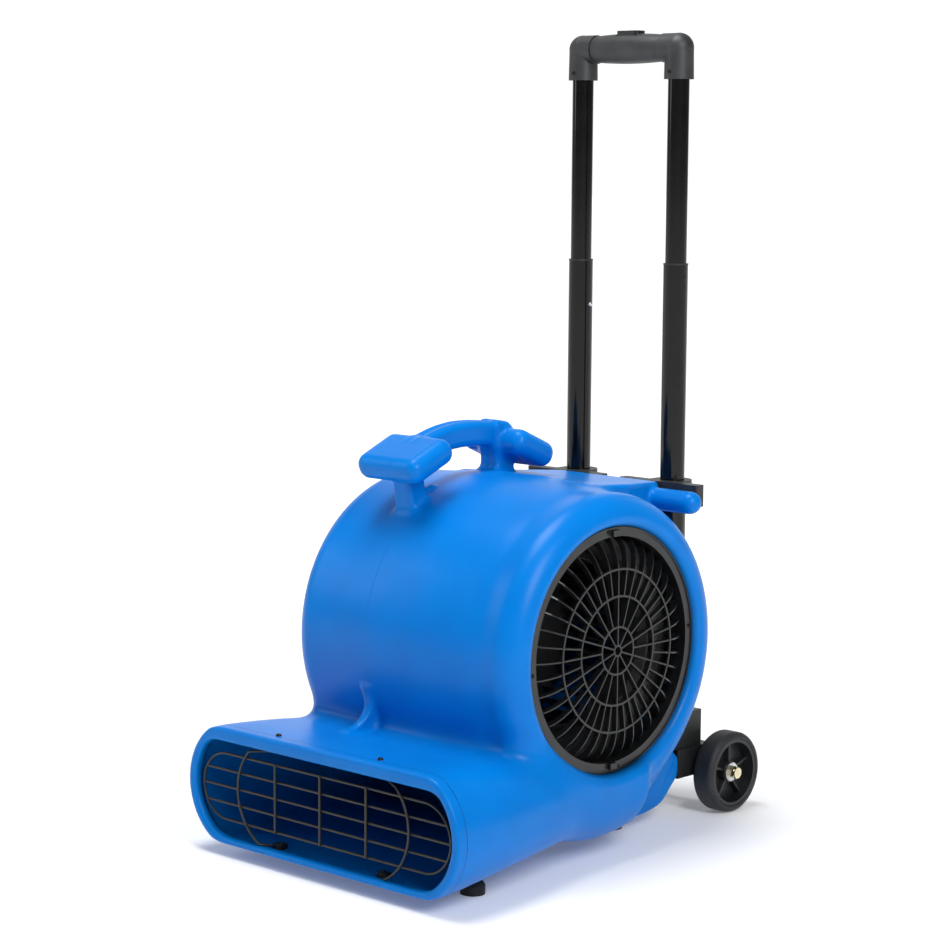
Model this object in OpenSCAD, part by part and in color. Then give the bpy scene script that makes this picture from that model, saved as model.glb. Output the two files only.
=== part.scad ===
// Portable blower for drying floors: a hollow moulded snail housing with a carry
// handle, a double-inlet fan on a motor, and a two-stage trolley with wheels.
// +Z is up, the outlet faces -Y and the trolley stands behind, at +Y.
// X = 0 is the centre plane; the origin is under the middle of the machine.

/* [Housing] */
// Radius of the drum round the fan axis
drum_r = 180; // [170:1:200]
// How much further the scroll stands out at the back of the drum
scroll_growth = 6; // [2:1:12]
// Half of the width over the two rounded cheeks
cheek_x = 178; // [170:1:200]
// Radius of the rounded rim between drum and cheek
rim_r = 22; // [18:1:24]
// Fan axis above the flat underside
scroll_drop = 232.5; // [225:0.5:250]
// Radius of the heel where scroll and underside meet
heel_r = 110; // [90:1:130]
// Thickness of the moulded wall
wall = 5; // [3:0.5:6]

/* [Outlet] */
// Front face of the outlet, ahead of the fan axis
nozzle_reach = 305; // [290:1:360]
// Half of the outlet's outer width
nozzle_x = 217.4; // [200:0.2:240]
// Outer height of the outlet
nozzle_h = 138; // [120:1:150]
// Radius of the outlet's round ends
nozzle_end_r = 75.9; // [70:0.1:80]
// Lip above the mouth
lip_top = 16.5; // [10:0.5:20]
// Lip below the mouth
lip_bottom = 8; // [6:0.5:12]
// Lip at the two ends of the mouth
lip_side = 11.5; // [8:0.5:16]
// Depth of the thick lip
lip_depth = 15; // [8:1:20]

/* [Inlets] */
// Radius of each side opening
inlet_r = 142; // [130:1:144]
// Depth of the grille's seat below the cheek
inlet_depth = 12; // [9:1:16]
// Width of the ledge that the grille is screwed to
ledge_w = 8; // [6:0.5:10]
// Ribs in the outer zone of each inlet grille
rib_count = 40; // [40:10:60]

/* [Fan and motor] */
// Outer radius of the fan wheel
fan_r = 118; // [100:1:122]
// Width of the fan wheel
fan_w = 190; // [150:1:200]
// Blades on the fan wheel
blade_count = 36; // [24:2:40]
// Radius of the motor case
motor_r = 58; // [45:1:66]
// Radius of the motor shaft
shaft_r = 6; // [5:0.5:8]

/* [Carry handle] */
// Top of the grip above the fan axis
carry_top = 247; // [240:1:262]
// Thickness of the grip
carry_t = 31; // [28:1:34]
// Width of the grip
carry_w = 30; // [26:1:34]
// Half of the length of the cross heads
head_x = 50; // [42:1:60]

/* [Wheels] */
// Wheel diameter
wheel_d = 100; // [90:1:120]
// Wheel width
wheel_w = 30; // [24:1:34]
// Outer face of each wheel from the centre plane
wheel_x = 135.2; // [130:0.2:150]
// Radius of the plastic wheel centre
hub_r = 41; // [34:1:42]
// Axle diameter
axle_d = 12; // [8:1:12]
// Wheel axle behind the trolley tubes
axle_set_back = 60.2; // [55:0.2:80]

/* [Trolley] */
// Tube spacing from the centre plane
tube_x = 75.7; // [70:0.1:80]
// Tube axis behind the rear wall of the housing
tube_stand_off = 28.6; // [26:0.2:40]
// Outer diameter of the fixed tube
outer_tube_d = 34; // [34:0.5:38]
// Wall of the steel tubes
tube_wall = 1.5; // [1:0.1:1.5]
// Gap between one tube and the next
tube_gap = 0.5; // [0.4:0.1:0.6]
// Top of the upper bracket above the fan axis
bracket_top = 168.8; // [160:0.2:172]
// Middle tube shown above the bracket
middle_show = 260.2; // [150:0.2:260.2]
// Inner tube shown above the middle tube
inner_show = 221.2; // [150:0.2:221.2]
// Length of each tube that stays inside the next
tube_overlap = 78; // [60:1:100]
// Height of the grip above the elbow rims
grip_rise = 53.3; // [48:0.1:58]
// Grip diameter
grip_d = 32; // [30:1:34]
// Travel of the release button
button_travel = 6; // [4:0.5:7]

/* [Feet and fittings] */
// Height of the rubber feet
foot_h = 14; // [10:1:16]
// Diameter of the rubber feet
foot_d = 28; // [22:1:34]
// Wire diameter of the outlet grille
wire_d = 3; // [2.5:0.1:4]
// Diameter of the speed knob
knob_d = 34; // [28:1:38]

/* [Fits] */
// Gap between a turning shaft and its hole, on the radius
run_fit = 0.05; // [0.02:0.01:0.1]
// Gap between fixed pieces that lie against each other
seat_gap = 0.2; // [0.1:0.05:0.4]
// Gap between pieces that move past each other
move_gap = 0.4; // [0.3:0.1:0.8]

/* [Hidden] */
fan_z = foot_h + scroll_drop;
back_r = drum_r + scroll_growth;
rear_wall_y = back_r + 2;
tube_y = rear_wall_y + tube_stand_off;
axle_y = tube_y + axle_set_back;
wheel_r = wheel_d / 2;
// everything is drawn about the fan axis, then moved so that it stands over its middle
shift_y = (nozzle_reach - axle_y - wheel_r) / 2;

// inlet grille
grille_x = cheek_x - 1.6;
seat_x = cheek_x - inlet_depth;
collar_x = cheek_x - 38;
grille_r = inlet_r - seat_gap;
rib_foot_x = cheek_x - 26;
rib_knee_r = 88;
ledge_r = inlet_r - ledge_w;
ring_radii = [6, 27.35, 62.95, 94.05];
rib_t = 1.8;
// screws of the inlet grilles stand midway between two ribs
screw_turn = [for (k = [0 : 3]) 90 * k + 180 / rib_count];
ledge_screw_r = ledge_r + 3.4;

// outlet
mouth_mid_z = foot_h + 70;
wire_y = -nozzle_reach + 9;
loop_pitch = 19.4;
loop_x = nozzle_x - 18.5;
loop_mid_z = mouth_mid_z - 2.6;
bar_x = [-75, -1.5, 72];
arc_foot_x = 101;
arc_bow = 37;
clamp_x = 82;
clamp_w = 14;
clamp_d = 10.5;
clamp_h = 6.4;
clamp_y = [-nozzle_reach + 18, -nozzle_reach + lip_depth + 0.4];
clamp_z = [foot_h + wall + seat_gap, foot_h + nozzle_h - wall - seat_gap - clamp_h];
bow_r = 65.5;
bow_mid_x = arc_foot_x + arc_bow - bow_r;
bow_mid_z = mouth_mid_z - 1;
bow_y = wire_y - wire_d * 0.8;
bow_from = -64;
bow_to = 46;

// fan and motor
fan_x = fan_w / 2;
blade_depth = 20;
fan_in_r = fan_r - blade_depth;
motor_len = fan_x + 10;
motor_x0 = -14;
motor_x1 = motor_x0 - motor_len;
cap_len = 10;
cap_boss_r = 20;
bearing_r = 16;
bearing_w = 9;
hub_outer_r = 18;
hub_len = 24;
mount_bar_t = 3;
mount_x = -collar_x + mount_bar_t + seat_gap / 2;
cone_x = -mount_x - 0.5;
cone_t = 3;
cone_screw_r = inlet_r - 1.5;
mount_bar_w = 16;

// deck and rear of the housing
deck_front_y = 60;
deck_drop = 11;
deck_front_x = 101;
deck_rear_x = 80;
deck_top_z = fan_z + drum_r - 2;
deck_rear_z = deck_top_z - deck_drop + 2;
base_x = 100;
horn_r = 13.5;
horn_y = rear_wall_y - 18;
horn_z = fan_z + drum_r - 29.5;
horn_tip_x = 155;
pad_x = 115;
fin_x = -47;
carry_x = -56;
carry_z = fan_z + carry_top;
grip_mid_y = -18;
fin_t = 12;

// trolley tubes
outer_r = outer_tube_d / 2;
outer_in_r = outer_r - tube_wall;
middle_r = outer_in_r - tube_gap;
middle_in_r = middle_r - tube_wall;
inner_r = middle_in_r - tube_gap;
inner_in_r = inner_r - tube_wall;
bracket_top_z = fan_z + bracket_top;
bracket_h = 26;
plate_t = 15;
bracket_half = 61.5;
tube_foot_z = foot_h + 78;
middle_top_z = bracket_top_z + middle_show;
middle_foot_z = bracket_top_z - tube_overlap;
elbow_rim_z = middle_top_z + inner_show;
inner_foot_z = middle_top_z - tube_overlap;
bush_h = 18;
bush_flange = 2;
guide_h = 30;
tip_z = middle_top_z - 54;
grip_z = elbow_rim_z + grip_rise - grip_d / 2;
elbow_r = 18;
elbow_end_x = 53;
grip_bore_r = 8;
button_w = 34;
button_d = 18;
button_rise = 5.5;
button_foot = 8;
rod_r = 2.5;
pin_r = 3;
pin_len = 16;
pin_z = inner_foot_z + 12;

// lower brackets and axle
axle_z = wheel_r;
axle_r = axle_d / 2;
arm_x0 = tube_x - 22;
arm_x1 = wheel_x - wheel_w - 5;
base_lip_y = rear_wall_y + 18;
washer_r = 11.5;
washer_t = 2;
nut_r = 7.8;
nut_h = 9.4;
shoulder_r = 7;
hub_boss = wheel_w - 8;
washer_z = hub_boss + move_gap;
shoulder_x = wheel_x - wheel_w + washer_z + washer_t;
thread_r = axle_r - 1.6;
thread_len = 5;
ear_w = 24;
ear_t = 8;
ear_screw_x = arm_x0 - ear_w / 2;
ear_screw_z = [axle_z + 8, axle_z + 22];

// switch plate on the rear wall, between the tubes
panel_z = fan_z + 86;
panel_w = 84;
panel_h = 66;
panel_t = 3;
knob_r = knob_d / 2;
knob_h = 16;
knob_x = 10;
gland_x = -20;
gland_z = -10;
spindle_r = 3;

foot_spots = [[-148, -208], [148, -208], [-74, 112], [74, 112]];

// ---------- shapes used by many parts ----------

module placed() {
  translate([0, shift_y, 0]) children();
}

module both_sides() {
  for (s = [-1, 1]) translate([s * tube_x, tube_y, 0]) children();
}

module along_x(x0, x1) {
  translate([min(x0, x1), 0, 0]) rotate([0, 90, 0]) linear_extrude(abs(x1 - x0)) children();
}

module rod_x(r, x0, x1, fn = 48) {
  translate([min(x0, x1), 0, 0]) rotate([0, 90, 0]) cylinder(r = r, h = abs(x1 - x0), $fn = fn);
}

module rod_y(r, y0, y1, fn = 48) {
  translate([0, max(y0, y1), 0]) rotate([90, 0, 0]) cylinder(r = r, h = abs(y1 - y0), $fn = fn);
}

module pipe(r_out, r_in, z0, z1, fn = 64) {
  translate([0, 0, z0]) difference() {
    cylinder(r = r_out, h = z1 - z0, $fn = fn);
    translate([0, 0, -1]) cylinder(r = r_in, h = z1 - z0 + 2, $fn = fn);
  }
}

// flat bar with round corners, lying in X and Y, centred
module round_bar(x, y, h, r) {
  cube([x - 2 * r, y, h], center = true);
  cube([x, y - 2 * r, h], center = true);
  for (sx = [-1, 1], sy = [-1, 1])
    translate([sx * (x / 2 - r), sy * (y / 2 - r), -h / 2]) cylinder(r = r, h = h, $fn = 32);
}

// pan head screw with a cross slot: the head's seat is at z = 0, the shank points down
module screw(head_r, shank_r, shank) {
  difference() {
    union() {
      cylinder(r1 = head_r, r2 = head_r * 0.72, h = head_r * 0.6, $fn = 32);
      translate([0, 0, -shank]) cylinder(r = shank_r, h = shank + 0.5, $fn = 24);
    }
    for (a = [0, 90]) rotate(a)
      translate([-head_r * 0.5, -head_r * 0.11, head_r * 0.25]) cube([head_r, head_r * 0.22, head_r]);
  }
}

// ---------- housing ----------

module rim_disc(r, half_x, edge) {
  rotate([0, 90, 0]) rotate_extrude($fn = 72) hull() {
    translate([0, -half_x]) square([r - edge, 2 * half_x]);
    for (s = [-1, 1]) translate([r - edge, s * (half_x - edge)]) circle(edge, $fn = 20);
  }
}

// the snail: drum, swollen back and heel in one skin; grow below zero gives the hollow
module scroll(grow) {
  hull() {
    translate([0, 1.5, fan_z - 2]) rim_disc(drum_r + 1 + grow, cheek_x + grow, rim_r + grow);
    // the barrel is crowned
    translate([0, 1.5, fan_z - 2]) rod_x(drum_r + 8 + grow, -58, 58, 72);
    translate([0, 5, foot_h + heel_r]) rim_disc(heel_r + grow, cheek_x + grow, rim_r + grow);
  }
}

// outlet outline: round ends cut off flat above and below
module outlet_outline(half_x, end_r, z0, z1) {
  intersection() {
    hull() for (s = [-1, 1]) translate([s * (half_x - end_r), mouth_mid_z]) circle(end_r, $fn = 48);
    translate([-half_x, z0]) square([2 * half_x, z1 - z0]);
  }
}

module outlet_slice(y, t, half_x, end_r, z0, z1) {
  translate([0, y + t, 0]) rotate([90, 0, 0]) linear_extrude(t)
    outlet_outline(half_x, end_r, z0, z1);
}

// outlet duct from the mouth back into the scroll
module duct(inset, y0) {
  r = rim_r - inset;
  hull() {
    outlet_slice(y0, 20, nozzle_x - inset, nozzle_end_r - inset,
      foot_h + inset, foot_h + nozzle_h - inset);
    // under the fan the duct is as wide as the scroll, with the scroll's rim
    for (s = [-1, 1], z = [foot_h + rim_r, foot_h + nozzle_h - 2 - rim_r])
      translate([s * (cheek_x - 2 - rim_r), 0, z]) rod_y(r, -40, -20, 20);
  }
}

// raised flat deck behind the drum, with the rear wall for the trolley brackets
module deck(grow) {
  r = 6 + grow;
  hull() {
    for (s = [-1, 1]) {
      translate([s * (deck_front_x - 6), deck_front_y, deck_top_z - 6]) sphere(r, $fn = 16);
      translate([s * (deck_rear_x - 6), rear_wall_y - 6, deck_rear_z - 6]) sphere(r, $fn = 16);
      translate([s * (deck_front_x - 6), deck_front_y, fan_z]) sphere(r, $fn = 16);
      translate([s * (deck_rear_x - 6), rear_wall_y - 6, fan_z + 20]) sphere(r, $fn = 16);
    }
  }
}

// block low at the back that carries the axle brackets and the rear feet
module base_block(grow) {
  lip = [[50, 6], [132, 6], [base_lip_y - 36, 14], [base_lip_y - 6, 42], [base_lip_y - 6, 58], [150, 90]];
  riser = [[50, 6], [rear_wall_y - 30, 22], [rear_wall_y + 2, 66], [rear_wall_y + 2, 118], [120, 150]];
  for (outline = [lip, riser]) hull() for (p = outline)
    translate([0, p[0], foot_h + p[1]]) rod_x(6 + grow, -base_x - grow, base_x + grow, 24);
}

module pillow(x, y0, z0, y1, z1, r) {
  hull() for (s = [-1, 1]) {
    translate([s * (x - r), y0, z0]) sphere(r, $fn = 20);
    translate([s * (x - r), y1, z1]) sphere(r, $fn = 20);
  }
}

// grip of the carry handle, one station of its bow
module bow_station(y) {
  sag = (y < grip_mid_y ? 0.0026 : 0.0014) * pow(y - grip_mid_y, 2);
  for (s = [-1, 1]) translate([s * (carry_w / 2 - 9), y, carry_z - sag]) {
    translate([0, 0, -9]) sphere(9, $fn = 12);
    translate([0, 0, 9 - carry_t]) sphere(9, $fn = 12);
  }
}

// carry handle over the parting line, on the motor's side of the centre plane
module carry_handle() translate([carry_x, 0, 0]) {
  stations = [-100, -68, -36, -4, 28, 56];
  for (i = [0 : len(stations) - 2]) hull() {
    bow_station(stations[i]);
    bow_station(stations[i + 1]);
  }
  pillow(head_x, -131, carry_z - 46, -92, carry_z - 29, 15);
  pillow(head_x, 46, carry_z - 28, 83, carry_z - 44, 15);
  // posts down to the drum
  hull() {
    translate([0, -110, carry_z - 42]) cube([30, 28, 4], center = true);
    translate([0, -98, fan_z + 140]) cube([31, 30, 10], center = true);
  }
  hull() {
    translate([0, 46, carry_z - 42]) cube([28, 32, 4], center = true);
    translate([0, 44, fan_z + 165]) cube([30, 34, 10], center = true);
  }
}

module horn(s) {
  translate([0, horn_y, horn_z]) {
    rod_x(horn_r, s * (deck_rear_x - 20), s * (horn_tip_x - horn_r), 32);
    translate([s * (horn_tip_x - horn_r), 0, 0]) sphere(horn_r, $fn = 32);
  }
  // pad that the bracket's outer ear is screwed to
  translate([s * pad_x, (horn_y + rear_wall_y) / 2, horn_z])
    cube([22, rear_wall_y - horn_y, 20], center = true);
}

module drum_fin() {
  hull() {
    translate([fin_x - fin_t / 2, -212, foot_h + nozzle_h - 8]) cube([fin_t, 4, 9]);
    translate([fin_x - fin_t / 2, -192, foot_h + nozzle_h + 8]) cube([fin_t, 4, 10]);
    translate([fin_x - fin_t / 2, -178, foot_h + nozzle_h + 38]) cube([fin_t, 20, 6]);
    translate([fin_x - fin_t / 2, -150, foot_h + nozzle_h - 8]) cube([fin_t, 10, 10]);
  }
}

module inlet_opening(s) {
  translate([0, 0, fan_z]) {
    rod_x(ledge_r, s * (collar_x - 40), s * (cheek_x + 1), 96);
    rod_x(inlet_r, s * seat_x, s * (cheek_x + 1), 96);
    translate([s * (cheek_x - 8), 0, 0]) rotate([0, s * 90, 0])
      cylinder(r1 = inlet_r, r2 = inlet_r + 9, h = 8.5, $fn = 96);
  }
}

module inlet_collar(s) {
  translate([0, 0, fan_z]) {
    rod_x(inlet_r + wall, s * collar_x, s * (cheek_x + 1), 96);
    rod_x(inlet_r + wall + 9, s * (cheek_x - 13), s * (cheek_x + 1), 96);
  }
}

module housing() color("dodgerblue") placed() difference() {
  union() {
    scroll(0);
    duct(0, -nozzle_reach);
    deck(0);
    base_block(0);
    carry_handle();
    drum_fin();
    for (s = [-1, 1]) horn(s);
  }
  difference() {
    union() {
      scroll(-wall);
      duct(wall, -nozzle_reach + lip_depth);
      deck(-wall);
      base_block(-wall);
    }
    for (s = [-1, 1]) inlet_collar(s);
    // solid bosses behind the screws of the axle brackets
    for (s = [-1, 1]) translate([s * ear_screw_x - 12, base_lip_y - 24, axle_z]) cube([24, 30, 30]);
  }
  outlet_slice(-nozzle_reach - 1, lip_depth + 2, nozzle_x - lip_side, nozzle_end_r - lip_side + 2,
    foot_h + lip_bottom, foot_h + nozzle_h - lip_top);
  for (s = [-1, 1]) inlet_opening(s);
  // hole in the rear wall for the speed switch
  translate([0, rear_wall_y - 20, panel_z]) cube([panel_w - 24, 60, panel_h - 26], center = true);
}

// ---------- inlet grilles ----------

// one rib: a strip standing on edge, level at first, then turning in behind the ring
module rib(r0, r1, turned = false) {
  drop = grille_x - rib_foot_x;
  span = r1 - rib_knee_r;
  front = turned ? [for (a = [0 : 15 : 90]) [rib_knee_r + span * sin(a), grille_x - drop * (1 - cos(a))]]
    : [[r1, grille_x]];
  back = turned ? [for (a = [90 : -15 : 0])
      [rib_knee_r + (span - 4) * sin(a), grille_x - 7 - drop * (1 - cos(a))]] : [[r1, grille_x - 7]];
  end = turned ? [[r1, rib_foot_x - 7]] : [];
  rotate([90, 0, 0]) translate([0, 0, -rib_t / 2]) linear_extrude(rib_t)
    polygon(concat([[r0, grille_x]], front, end, back, [[r0, grille_x - 7]]));
}

module inlet_grille(s) {
  placed() translate([0, 0, fan_z]) mirror([s < 0 ? 1 : 0, 0, 0]) rotate([0, 90, 0]) {
    // rings of the flat face
    for (r = ring_radii) pipe(r + 1.2, r - 1.2, grille_x - (r > 90 ? 3 : 7), grille_x, 64);
    for (i = [0 : rib_count / 4 - 1]) rotate(i * 1440 / rib_count) rib(6, 28);
    for (i = [0 : rib_count / 2 - 1]) rotate(i * 720 / rib_count) rib(27, 63.5);
    for (i = [0 : rib_count - 1]) rotate(i * 360 / rib_count) rib(62.5, ledge_r - 2, true);
    // ring that lies on the seat, its raised rim, and the wall that the ribs end on
    pipe(grille_r, ledge_r - 3, seat_x, seat_x + 3, 96);
    pipe(grille_r, grille_r - 1.6, seat_x + 1, seat_x + 4.2, 96);
    pipe(ledge_r - 0.4, ledge_r - 3, rib_foot_x - 7.5, seat_x + 1, 96);
    // lugs at top and bottom
    for (a = [0, 180]) rotate(a) translate([ledge_r - 2.6, -6, seat_x + 2]) cube([7, 12, 5]);
  }
}

module inlet_grille_right() color("black") inlet_grille(1);
module inlet_grille_left() color("black") inlet_grille(-1);

module inlet_grille_screws() color("silver") placed() for (s = [-1, 1])
  translate([0, 0, fan_z]) mirror([s < 0 ? 1 : 0, 0, 0]) rotate([0, 90, 0])
    for (a = screw_turn) rotate(a) translate([ledge_screw_r, 0, seat_x + 3 + 0.05])
      screw(2.5, 1.6, 6.4);

// ---------- outlet grille ----------

// straight wire, run on a little past both ends so that it bites into its neighbours
module wire(p, q, more = 0.7) {
  d = (q - p) / norm(q - p);
  translate(p - more * d) rotate([0, acos(d[2]), atan2(d[1], d[0])])
    cylinder(d = wire_d, h = norm(q - p) + 2 * more, $fn = 16);
}

// round bow in the X-Z plane from angle a0 to a1
module wire_bow(x, z, r, a0, a1) {
  translate([x, wire_y, z]) rotate([90, 0, 0]) rotate(a0)
    rotate_extrude(angle = a1 - a0, $fn = 64) translate([r, 0]) circle(d = wire_d - 0.1, $fn = 16);
}

module outlet_grille() color("black") placed() {
  half_h = 2 * loop_pitch;
  end_x = loop_x - half_h;
  for (s = [-1, 1]) {
    wire([-end_x, wire_y, loop_mid_z + s * half_h], [end_x, wire_y, loop_mid_z + s * half_h]);
    wire_bow(s * end_x, loop_mid_z, half_h, s < 0 ? 90 : -90, s < 0 ? 270 : 90);
  }
  for (i = [-1, 0, 1]) {
    z = loop_mid_z + i * loop_pitch;
    x = end_x + sqrt(half_h * half_h - i * i * loop_pitch * loop_pitch);
    wire([-x, wire_y, z], [x, wire_y, z]);
  }
  for (x = bar_x) translate([0, -wire_d * 0.8, 0])
    wire([x, wire_y, loop_mid_z - half_h], [x, wire_y, loop_mid_z + half_h]);
  // bowed wires whose tails end in the clamps on the floor and under the roof
  for (s = [-1, 1]) {
    translate([0, bow_y - wire_y, 0]) wire_bow(s * bow_mid_x, bow_mid_z, bow_r,
      s < 0 ? 180 - bow_to : bow_from, s < 0 ? 180 - bow_from : bow_to);
    wire(bow_end(s, bow_to), roof_knee(s));
    for (up = [0, 1]) wire(tail_start(s, up), tail_end(s, up), 0.5);
  }
}

function bow_end(s, a) = [s * (bow_mid_x + bow_r * cos(a)), bow_y, bow_mid_z + bow_r * sin(a)];
function roof_knee(s) = [s * (clamp_x + 14), -nozzle_reach + lip_depth + 2, mouth_mid_z + 48];
function tail_start(s, up) = up ? roof_knee(s) : bow_end(s, bow_from);
function tail_end(s, up) = [s * (clamp_x + 7), clamp_y[up] + 5, clamp_z[up] + clamp_h / 2];

// plastic blocks, each with the blind hole that a wire's tail is pushed into
module outlet_grille_clamps() color("black") placed() for (s = [-1, 1], up = [0, 1]) difference() {
  translate([s * (clamp_x + 2.6) - clamp_w / 2, clamp_y[up], clamp_z[up]])
    cube([clamp_w, clamp_d, clamp_h]);
  p = tail_start(s, up);
  q = tail_end(s, up);
  d = (q - p) / norm(q - p);
  translate(p) rotate([0, acos(d[2]), atan2(d[1], d[0])])
    cylinder(d = wire_d + 0.3, h = norm(q - p) + 1, $fn = 24);
}

module outlet_grille_screws() color("black") placed() for (s = [-1, 1]) {
  translate([s * clamp_x, clamp_y[1] + 3.4, foot_h + nozzle_h + 0.05]) screw(3.6, 1.6, wall + 5);
  translate([s * clamp_x, clamp_y[0] + 5, clamp_z[0] + clamp_h + 0.05]) screw(3, 1.6, clamp_h + 4);
  translate([s * 118, -nozzle_reach + 79, foot_h + wall + 0.05]) screw(3, 1.6, 4);
}

// ---------- fan and motor ----------

module motor_part() { placed() translate([0, 0, fan_z]) children(); }

module fan_wheel() color("dimgray") motor_part() rotate([0, 90, 0]) {
  translate([0, 0, -fan_x]) linear_extrude(fan_w) for (i = [0 : blade_count - 1])
    rotate(i * 360 / blade_count) polygon([[fan_in_r + 0.5, 0], [fan_in_r + blade_depth / 2, 3],
      [fan_r - 0.5, 10], [fan_r - 1, 11.2], [fan_in_r + blade_depth / 2, 4.6], [fan_in_r + 0.5, 1.4]]);
  for (s = [-1, 1])
    pipe(fan_r, fan_in_r, s * fan_x - (s > 0 ? 3 : 0), s * fan_x + (s > 0 ? 0 : 3), 96);
  pipe(fan_r, hub_outer_r - 2, 0, 3, 96);
}

module fan_hub() color("silver") motor_part() rotate([0, 90, 0]) difference() {
  union() {
    pipe(hub_outer_r, shaft_r, 3.1, hub_len, 48);
    pipe(hub_outer_r - 2.2, shaft_r, -2, 4, 48);
  }
  translate([0, 0, hub_len - 8]) rotate([0, 90, 0]) cylinder(r = 2.5, h = hub_outer_r + 2, $fn = 24);
}

module motor_shaft() color("silver") motor_part() {
  rod_x(shaft_r - seat_gap / 10, hub_len + 4, motor_x1 - cap_len + 2);
}

module motor_core() color("sienna") motor_part() rotate([0, 90, 0])
  pipe(motor_r * 0.5, shaft_r, motor_x1 + 26, motor_x0 - 26, 64);

module motor_stator() color("sienna") motor_part() rotate([0, 90, 0])
  pipe(motor_r - 4 - seat_gap / 2, motor_r * 0.5 + 1, motor_x1 + 26, motor_x0 - 26, 64);

module motor_case() color("dimgray") motor_part() rotate([0, 90, 0])
  pipe(motor_r, motor_r - 4, motor_x1, motor_x0, 96);

module motor_cap(s, x) {
  rotate([0, 90, 0]) translate([0, 0, x]) mirror([0, 0, s < 0 ? 1 : 0]) difference() {
    union() {
      cylinder(r = motor_r, h = 4, $fn = 96);
      translate([0, 0, -5]) cylinder(r = motor_r - 4 - seat_gap, h = 6, $fn = 96);
      translate([0, 0, -9]) cylinder(r = cap_boss_r, h = 9 + cap_len, $fn = 48);
    }
    translate([0, 0, -20]) cylinder(r = shaft_r + 1.5, h = 60, $fn = 48);
    translate([0, 0, -10]) cylinder(r = bearing_r, h = bearing_w + 1, $fn = 48);
  }
}

module motor_cap_inner() color("gray") motor_part() motor_cap(1, motor_x0 + seat_gap / 4);
module motor_cap_outer() color("gray") motor_part() motor_cap(-1, motor_x1 - seat_gap / 4);

module motor_bearings() color("silver") motor_part() rotate([0, 90, 0]) {
  pipe(bearing_r, shaft_r + run_fit, motor_x0 - 9, motor_x0 - 9 + bearing_w, 48);
  pipe(bearing_r, shaft_r + run_fit, motor_x1 + 9 - bearing_w, motor_x1 + 9, 48);
}

// four bars from the motor's outer cap to the ledge of the left inlet
module motor_mount() color("darkgray") motor_part() difference() {
  union() {
    x_hub = motor_x1 - 4 - seat_gap;
    rotate([0, 90, 0]) pipe(motor_r - 6, cap_boss_r + seat_gap, x_hub - mount_bar_t, x_hub, 64);
    for (a = [45, 135, 225, 315]) rotate([a, 0, 0]) {
      translate([x_hub - mount_bar_t, -mount_bar_w / 2, cap_boss_r + 4])
        cube([mount_bar_t, mount_bar_w, motor_r - cap_boss_r + 20]);
      translate([mount_x - mount_bar_t, -mount_bar_w / 2, motor_r + 20])
        cube([x_hub - mount_x + mount_bar_t, mount_bar_w, mount_bar_t]);
      translate([mount_x - mount_bar_t, -mount_bar_w / 2, motor_r + 20])
        cube([mount_bar_t, mount_bar_w, inlet_r - 2 - motor_r - 20]);
    }
  }
}

module motor_mount_screws() color("silver") motor_part() for (a = [45, 135, 225, 315])
  rotate([a, 0, 0]) {
    translate([mount_x + 0.1, 0, ledge_screw_r + 0.6]) rotate([0, 90, 0]) screw(3.4, 1.8, 7);
    translate([motor_x1 - 7.5, 0, motor_r - 16]) rotate([0, -90, 0]) screw(3.4, 1.8, 6.5);
  }

// ---------- bell mouths behind the inlets ----------

module cone_part(s) {
  motor_part() mirror([s < 0 ? 1 : 0, 0, 0]) rotate([0, 90, 0]) children();
}

// bell that leads the air into the fan, with pads that lie on the collar's inner end
module inlet_cones() color("black") for (s = [-1, 1]) cone_part(s) difference() {
  union() {
    rotate_extrude($fn = 96) translate([0, cone_x]) polygon([
      [146, 0], [146, -cone_t], [131, -cone_t], [121, -5], [112, -10.5], [106, -19.5], [103.6, -29],
      [103, -38], [100, -38], [100.6, -28.5], [103.2, -18], [109.8, -8.4], [119.8, -2], [128, 0]]);
    for (a = [0 : 90 : 270]) rotate(a) translate([136, -6, cone_x - 1])
      cube([9, 12, collar_x - cone_x + 1 - seat_gap / 2]);
  }
  // clearance round the heads of the motor mount's screws
  for (a = [45, 135, 225, 315]) rotate(a) translate([ledge_screw_r + 0.6, 0, cone_x - 5])
    cylinder(r = 5, h = 10, $fn = 32);
}

module inlet_cone_screws() color("silver") for (s = [-1, 1]) cone_part(s) for (a = [0 : 90 : 270])
  rotate(a) translate([cone_screw_r, 0, cone_x - cone_t - 0.05]) mirror([0, 0, 1])
    screw(3.2, 1.6, collar_x - cone_x + cone_t + 3.6);

// ---------- speed switch on the rear wall ----------

module on_panel(y) { placed() translate([0, rear_wall_y + y, panel_z]) children(); }

module capacitor() color("gainsboro") on_panel(0) translate([-14, -34, -46]) rotate([0, 90, 0])
  cylinder(r = 14, h = 52, $fn = 48);

module capacitor_strap() color("silver") on_panel(0) translate([6, -34, -46]) rotate([0, 90, 0])
  difference() {
    union() {
      pipe(15.4, 14.1, 0, 12, 48);
      // tab and foot against the rear wall
      translate([-1.5, 14.5, 0]) cube([3, 13.5, 12]);
      translate([-10, 27, 0]) cube([20, 1.8, 12]);
    }
    translate([-3, -30, -1]) cube([6, 30, 14]);
  }

module switch_plate() color("black") on_panel(0.1) difference() {
  translate([0, panel_t / 2, 0]) rotate([90, 0, 0]) round_bar(panel_w, panel_h, panel_t, 6);
  translate([knob_x, -1, 6]) rotate([-90, 0, 0]) cylinder(r = 5, h = 10, $fn = 32);
  translate([gland_x, -1, gland_z]) rotate([-90, 0, 0]) cylinder(r = 8, h = 10, $fn = 48);
}

module switch_plate_screws() color("silver") on_panel(panel_t + 0.15)
  for (sx = [-1, 1], sz = [-1, 1])
    translate([sx * (panel_w / 2 - 6), 0, sz * (panel_h / 2 - 6)]) rotate([-90, 0, 0]) screw(3, 1.5, 7);

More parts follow.
